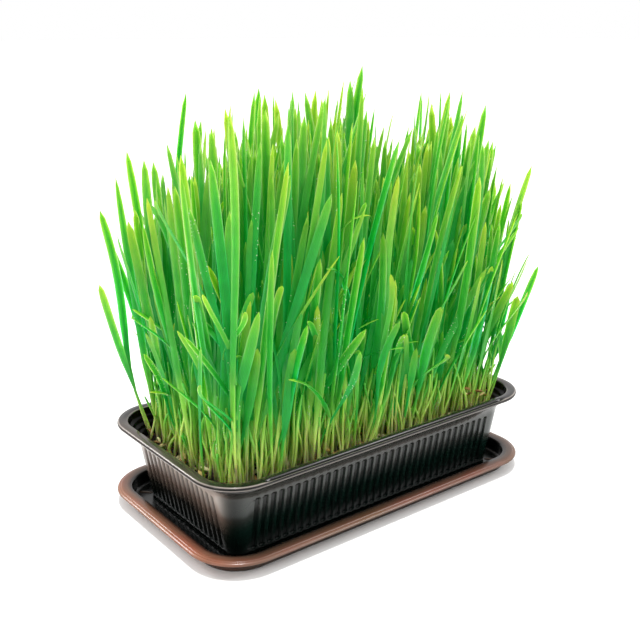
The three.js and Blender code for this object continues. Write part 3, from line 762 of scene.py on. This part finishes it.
def readSprouts(node):
    # The sprouts of one packed clump, as arrays: centres (sprouts, 4, 3), turns (sprouts, 3) and half widths. A
    # sprout is ten points of a welded copy: a foot ring, two rings of edge, keel and edge, and the tip.
    source = nodes[node].data
    loose = np.empty(len(source.vertices) * 3)
    source.vertices.foreach_get("co", loose)
    source.calc_loop_triangles()
    triangles = np.empty(len(source.loop_triangles) * 3, int)
    source.loop_triangles.foreach_get("vertices", triangles)
    points, welded = np.unique(np.round(loose.reshape(-1, 3) / mm, 4), axis=0, return_inverse=True)
    faces = welded.reshape(-1)[triangles].reshape(-1, 3)
    footHeights, counts = np.unique(points[:, 2], return_counts=True)
    plugTop = footHeights[np.argmax(counts)]
    faces = faces[points[faces, 2].max(axis=1) > plugTop + 0.01]
    group = np.arange(len(points))
    for _ in range(10):  # each face gives its points the lowest number among them, until a sprout shares one
        lowest = np.repeat(group[faces].min(axis=1), 3)
        np.minimum.at(group, faces.ravel(), lowest)
    used = np.unique(faces)
    order = used[np.lexsort((points[used, 2], group[used]))]
    sprouts = points[order].reshape(-1, 10, 3)
    rings = sprouts[:, :9].reshape(-1, 3, 3, 3)
    centres = np.concatenate([rings.mean(axis=2), sprouts[:, 9:]], axis=1)
    sides = np.linalg.norm(rings - np.roll(rings, -1, axis=2), axis=-1)
    corner = (sides.argmax(axis=-1)[..., None] + np.arange(3)) % 3  # the ends of the widest side, and the keel
    first, second, keel = np.moveaxis(np.take_along_axis(rings, corner[..., None], axis=2), 2, 0)
    behind = keel - (first + second) / 2
    turns = np.unwrap(np.arctan2(-behind[..., 0], behind[..., 1]), axis=1)
    return centres, turns, sides[:, 1].max(axis=-1) / 2


def throughFour(values, shares, t):
    # The cubic through four values at four shares (the Lagrange form), at the shares t. values: n, 4, k; shares:
    # n, 4; t: n, m.
    total = 0
    for i in range(4):
        weight = np.ones(t.shape)
        for j in range(4):
            if j != i:
                weight = weight * (t - shares[:, j:j + 1]) / (shares[:, i] - shares[:, j])[:, None]
        total = total + weight[..., None] * values[:, i:i + 1]
    return total


def bladeSection(paths, turns, halves, sheath, taper):
    # A sprout is a path with a section of four points: two edges, a keel behind and a channel in front. The stem
    # is round, and above the sheath the section widens to a thin shallow V. The half width falls towards the tip
    # as (1 - v^taper)^0.7, where v runs from 0 a little over halfway up to 1 at the tip.
    t = sectionShares
    opened = smoothStep((t - sheath[:, :1]) / (sheath[:, 1:] - sheath[:, :1]))
    along = np.clip((t - blade["taperFrom"]) / (1 - blade["taperFrom"]), 0, 1)
    half = blade["stemHalf"] + (halves[:, None] - blade["stemHalf"]) * opened
    half = np.maximum(half * (1 - along ** taper[:, None]) ** 0.7, blade["tipHalf"])
    stem = blade["stemDepth"] * (1 - opened)
    keel = stem + blade["channel"] * half * opened
    front = stem + (blade["thickness"] - blade["channel"] * half) * opened
    tangent = unitLength(np.gradient(paths, axis=1))
    level = np.dstack([np.cos(turns), np.sin(turns), np.zeros_like(turns)])
    behind = unitLength(np.cross(tangent, level))
    beside = np.cross(behind, tangent)
    return np.stack([
        paths + beside * half[..., None], paths + behind * keel[..., None],
        paths - beside * half[..., None], paths - behind * front[..., None],
    ], axis=2)


def clumpNames(column):  # the five packed clumps in one column of the tray
    return [f"sprouts_{column * clumps['rows'] + row + 1:02d}" for row in range(clumps["rows"])]


def inColumn(group, column):  # those sprouts of a group whose feet stand in that column
    place = np.floor(group[0][:, 0, 0] / clumps["pitch"] + clumps["columns"] / 2)
    isHere = np.clip(place, 0, clumps["columns"] - 1) == column
    return [part[isHere] for part in group]


def towardsRight(places):  # how far right the camera sees them: 0 and 1 at the ends of the soil's middle line
    return (places[:, 0] - places[:, 1]) / clumps["span"] + 0.5


def risingCentres(feet, tips, height, curl=1):  # foot + lean * share^curl, and as high as height * share
    flat = feet[:, None] + (tips - feet)[:, None] * centreShares[None, :, None] ** curl
    return np.dstack([flat, soil["top"] + height[:, None] * centreShares])


def betweenSprouts():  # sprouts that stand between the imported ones, under the same skyline
    random = np.random.default_rng(11)
    feet = insideSoil(random, between["count"], between["margin"])
    count = len(feet)
    drift = between["drift"][0] + np.ptp(between["drift"]) * towardsRight(feet)
    farthest = np.where(random.random(count) < between["farShare"], between["farLean"], between["lean"])
    reach = farthest * random.random(count)
    lean = (feet * between["fan"] + drift[:, None] * between["driftHeading"]
            + reach[:, None] * unitVectors(random.uniform(0, 2 * np.pi, count)))
    tips = np.clip(feet + lean, -np.array(between["tipReach"]), between["tipReach"])
    isTall = random.random(count) < between["tallShare"]
    tall = random.uniform(*between["tallHeight"], count)
    share = between["height"][0] + np.ptp(between["height"]) * random.random(count) ** 0.75
    skyline = np.interp(tips @ between["driftHeading"], between["skylineAlong"], between["skylineHeight"])
    height = np.where(isTall, tall, share) * skyline
    half = random.uniform(*between["width"], count) / 2
    centres = risingCentres(feet, tips, height, random.uniform(*between["curl"], (count, 1, 1)))
    start = random.uniform(0, np.pi, (count, 1))
    turns = start + random.uniform(-0.5, 0.5, (count, 1)) * between["twist"] * centreShares[:3]
    return centres, turns, half


def sideLeaves(hosts):
    # Second leaves that leave a stem part of the way up: start + reach * t^1.25 outwards, and a rise of
    # rise * ((1 + droop) t - droop t^2), so that with enough droop the tip hangs
    random = np.random.default_rng(37)
    count = sideLeaf["count"]
    host = hosts[random.choice(len(hosts), count, replace=False)]
    place = random.uniform(*sideLeaf["from"], (count, 1))
    start = throughFour(host, np.tile(centreShares, (count, 1)), place)
    heading = random.uniform(0, 2 * np.pi, count)
    reach = random.uniform(*sideLeaf["reach"], count)
    rise = random.uniform(*sideLeaf["rise"], count)
    isFolded = random.random(count) < sideLeaf["foldedShare"]
    limp = random.uniform(*sideLeaf["droop"], count) * reach / sideLeaf["reach"][1]
    droop = np.where(isFolded, sideLeaf["foldedDroop"], limp)[:, None]
    outward = (unitVectors(heading) * reach[:, None])[:, None]
    flat = start[..., :2] + outward * centreShares[None, :, None] ** 1.25
    flat = np.clip(flat, -np.array(between["tipReach"]), between["tipReach"])
    lift = (1 + droop) * centreShares - droop * centreShares ** 2
    centres = np.dstack([flat, start[..., 2] + rise[:, None] * lift])
    turns = heading[:, None] + np.pi / 2 + random.uniform(-0.6, 0.6, (count, 1)) * centreShares[:3]
    return centres, turns, random.uniform(*sideLeaf["width"], count) / 2


def edgeStems():  # young stems without a blade yet, leaning every way, in a band along the soil's edge
    random = np.random.default_rng(19)
    feet = insideSoil(random, edgeStem["count"], edgeStem["margin"])
    feet = feet[(np.abs(feet) > soilHalf - edgeStem["band"]).any(axis=1)]
    count = len(feet)
    heading = random.uniform(0, 2 * np.pi, count)
    lean = edgeStem["lean"] * random.random((count, 1))
    tips = np.clip(feet + lean * unitVectors(heading), -soilHalf, soilHalf)
    centres = risingCentres(feet, tips, random.uniform(*edgeStem["height"], count))
    turns = np.repeat(random.uniform(0, np.pi, (count, 1)), 3, axis=1)
    return centres, turns, np.full(count, blade["stemHalf"])


def makeSprouts(column, groups):
    # All sprouts of one column. Their kinds are 0 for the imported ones, and 1, 2 and 3 for the three groups: those
    # between them, the side leaves and the young stems.
    random = np.random.default_rng(500 + column)
    main = [np.concatenate(part) for part in zip(*map(readSprouts, clumpNames(column)))]
    groups = [main, *(inColumn(group, column) for group in groups)]
    kind = np.repeat(range(4), [len(group[0]) for group in groups])
    centres, turns, halves = (np.concatenate(parts) for parts in zip(*groups))
    count = len(centres)
    t = sectionShares
    heights = centres[:, 3, 2] - centres[:, 0, 2]
    shares = np.tile(centreShares, (count, 1))
    shares[kind == 0] = ((centres[..., 2] - centres[:, :1, 2]) / heights[:, None])[kind == 0]
    isBlunt = ((kind == 0) & (shares[:, 2] > 0.9)) | (random.random(count) < blade["bluntShare"])
    paths = throughFour(centres, shares, np.broadcast_to(t, (count, len(t))))
    swayHeading = random.uniform(0, 2 * np.pi, count)
    bend = random.uniform(0, blade["sway"], (count, 1)) * np.sin(np.pi * random.integers(1, 3, (count, 1)) * t)
    paths[..., :2] += unitVectors(swayHeading)[:, None] * bend[..., None]
    paths[kind != 2, 0, 2] -= blade["sunk"]
    spin = np.stack([np.interp(t, s, a) for s, a in zip(shares, np.column_stack([turns, turns[:, 2]]))])
    # The shares where the sheath starts and ends. A side leaf has none, and a young stem is all sheath
    sheathFrom = random.uniform(*blade["sheathFrom"], count) / heights
    sheathTo = np.minimum(sheathFrom + random.uniform(*blade["sheathOver"], count) / heights, 0.75)
    sheath = np.stack([np.minimum(sheathFrom, 0.5), sheathTo], axis=1)
    sheath[kind == 2] = (-0.1, 0.22)
    sheath[kind == 3] = (1.1, 1.2)
    blunt, sharp = (random.uniform(*blade[name], count) for name in ("bluntTaper", "sharpTaper"))
    section = bladeSection(paths, spin, halves, sheath, np.where(isBlunt, blunt, sharp))
    mesh = makeMesh(f"sprouts{column + 1:02d}", section, turnedOver(tubeFaces(len(t), 4, count)), 100)
    start, end = np.array([(0, 1), (0, 1), sideLeaf["shares"], edgeStem["shares"]])[kind].T[..., None]
    setAttribute(mesh, "share", np.repeat(start + (end - start) * t, 4, axis=1))
    setAttribute(mesh, "across", np.broadcast_to([0.0, 0.5, 1.0, 0.5], (count, len(t), 4)))
    youngShare = blade["youngShare"] * (0.6 + 0.8 * np.clip(towardsRight(centres[:, 0]), 0, 1))
    isYoung = random.random(count) < youngShare
    young, deep = (random.uniform(*blade[name], count) for name in ("youngTone", "deepTone"))
    setAttribute(mesh, "tone", np.repeat(np.where(isYoung, young, deep), len(t) * 4))
    return mesh, section


# Wheat leaf: a smooth waxy skin over parallel veins a third of a millimetre apart (drawn at twice that so that
# they show), nearly white at the stem, deep green along the blade and yellow-green where young tips thin out. Its
# edges are painted paler, a painted highlight. Light passes through leaf after leaf, so shaded blades stay a full
# green: a faint glow stands for that light, and fades out down the stem
def wheatLeaf():
    material = newMaterial("wheat leaf")
    tree, place = openMaterial(material)
    share = readAttribute(tree, "share")
    across = readAttribute(tree, "across")
    deep = addRamp(tree, share, [
        (0, "#ecf4b8"), (0.09, "#bfdc68"), (0.22, "#52aa3c"), (0.36, "#088034"), (0.7, "#048030"),
        (0.88, "#26882e"), (1, "#5c9a2a"),
    ])
    young = addRamp(tree, share, [
        (0, "#f2f6c0"), (0.1, "#d4e67c"), (0.24, "#88bc40"), (0.4, "#369030"), (0.7, "#48952b"),
        (0.88, "#7aa228"), (1, "#a2b424"),
    ])
    colour = blendColours(tree, readAttribute(tree, "tone"), deep, young)
    vein = addMath(tree, "SINE", addMath(tree, "MULTIPLY", across, blade["veins"] * 2 * math.pi))
    veinShade = mapRange(tree, vein, (-1, 1), (0.88, 1.08))
    cloudShade = mapRange(tree, addNoise(tree, place, 0.012, 4), (0.3, 0.7), (0.86, 1.12))
    # Painted highlight: the edges are painted up to a third paler
    outward = addMath(tree, "ABSOLUTE", addMath(tree, "SUBTRACT", across, 0.5))
    edgeHighlight = mapRange(tree, outward, (0.38, 0.5), (1, 1.35))
    shade = addMath(tree, "MULTIPLY", addMath(tree, "MULTIPLY", veinShade, cloudShade), edgeHighlight)
    return closeMaterial(material, {
        "Base Color": scaleColour(tree, colour, shade), "Normal": addBump(tree, vein, 0.25, 0.0001),
        "Roughness": 0.45, "IOR": 1.42, "Specular IOR Level": 0.25,
        "Emission Color": "#00a028", "Emission Strength": mapRange(tree, share, (0.1, 0.35), (0, 0.17)),
        "Subsurface Weight": 0.7, "Subsurface Radius": (0.5, 1.0, 0.25), "Subsurface Scale": 0.0016,
    })


leafMaterial = wheatLeaf()
extraSprouts = betweenSprouts()
extraGroups = [extraSprouts, sideLeaves(extraSprouts[0]), edgeStems()]
grown = []
for column in range(clumps["columns"]):
    mesh, section = makeSprouts(column, extraGroups)
    makePiece(mesh.name, mesh, leafMaterial, clumpNames(column))
    grown.append(section)
print("sprouts made:", sum(len(section) for section in grown))


# Dew on the blades

dew = {
    "blades": 450, "drops": 20, "radius": (0.24, 0.45), "from": (0.2, 0.6), "run": (0.15, 0.4),
    "highest": 0.97, "inward": 0.9,
}


def makeDew():
    # Drops sit in rows on some blades, between an edge and the keel or the channel beside it
    random = np.random.default_rng(71)
    sections = np.concatenate(grown)
    which = np.repeat(random.choice(len(sections), dew["blades"], replace=False), dew["drops"])
    count = len(which)
    start, run = (np.repeat(random.uniform(*dew[name], dew["blades"]), dew["drops"]) for name in ("from", "run"))
    t = np.minimum(start + run * random.random(count), dew["highest"]) * (blade["steps"] - 1)
    low = t.astype(int)
    part = (t - low)[:, None, None]
    ring = sections[which, low] * (1 - part) + sections[which, low + 1] * part
    every = np.arange(count)
    inward = (random.uniform(0, dew["inward"], count) ** 1.6)[:, None]
    centre = (ring[every, random.integers(0, 2, count) * 2] * (1 - inward)
              + ring[every, random.integers(0, 2, count) * 2 + 1] * inward)
    radius = random.uniform(*dew["radius"], count)
    points = centre[:, None] + roundLump(3, 4) * radius[:, None, None]
    return makeMesh("dewDrops", points, tubeFaces(3, 4, count), 80)


# Water: glossy beads, only partly clear; their pale base colour is a painted highlight that shows them as pale dots
# over the green that they sit on
water = closeMaterial(newMaterial("dew"), {
    "Base Color": "#e8ffd4", "Roughness": 0.05, "IOR": 1.333, "Transmission Weight": 0.45,
})
makePiece("dewDrops", makeDew(), water)
print("dew made")


# Floor and lights: a plain pale floor, a bright even sky, a soft sun overhead and three soft lamps, in metres

stage = {
    "floorSize": 40.0, "floorColour": "#fcfcfb", "sky": 1.0, "sun": 2.3, "sunAngle": 6, "lampSize": 0.4,
    "lamps": [  # place, aimed at, power
        ((-1.6, -0.35, 0.8), (0, 0, 0.1), 3.6),
        ((1.0, -0.95, 1.1), (0, 0, 0.1), 6.0),
        ((-0.8, 1.4, 0.95), (0, 0, 0.05), 8.0),
    ],
}


# Painted studio floor: matt and nearly white, so that the tray stands out as on plain paper
floorPaint = closeMaterial(newMaterial("painted studio floor"), {
    "Base Color": stage["floorColour"], "Roughness": 0.8,
})
half = stage["floorSize"] / 2
floorMesh = bpy.data.meshes.new("floor")
corners = [(-half, -half, 0), (half, -half, 0), (half, half, 0), (-half, half, 0)]
floorMesh.from_pydata(corners, [], [(0, 1, 2, 3)])
floorMesh.materials.append(floorPaint)
floor = addObject("floor", floorMesh)

world = bpy.data.worlds.new("studio")
bpy.context.scene.world = world
world.use_nodes = True
world.node_tree.nodes["Background"].inputs["Color"].default_value = (1, 1, 1, 1)
world.node_tree.nodes["Background"].inputs["Strength"].default_value = stage["sky"]

sunData = bpy.data.lights.new("sun", "SUN")  # it shines straight down
sunData.energy = stage["sun"]
sunData.angle = math.radians(stage["sunAngle"])
addObject("sun", sunData)

for number, (place, aim, power) in enumerate(stage["lamps"]):
    lampData = bpy.data.lights.new(f"lamp{number + 1}", "AREA")
    lampData.size = stage["lampSize"]
    lampData.energy = power
    back = unitLength(np.array(place) - aim)
    right = unitLength(np.cross([0, 0, 1], back))
    turnAndMove(addObject(lampData.name, lampData), (right, np.cross(back, right), back), place)
print("stage set")
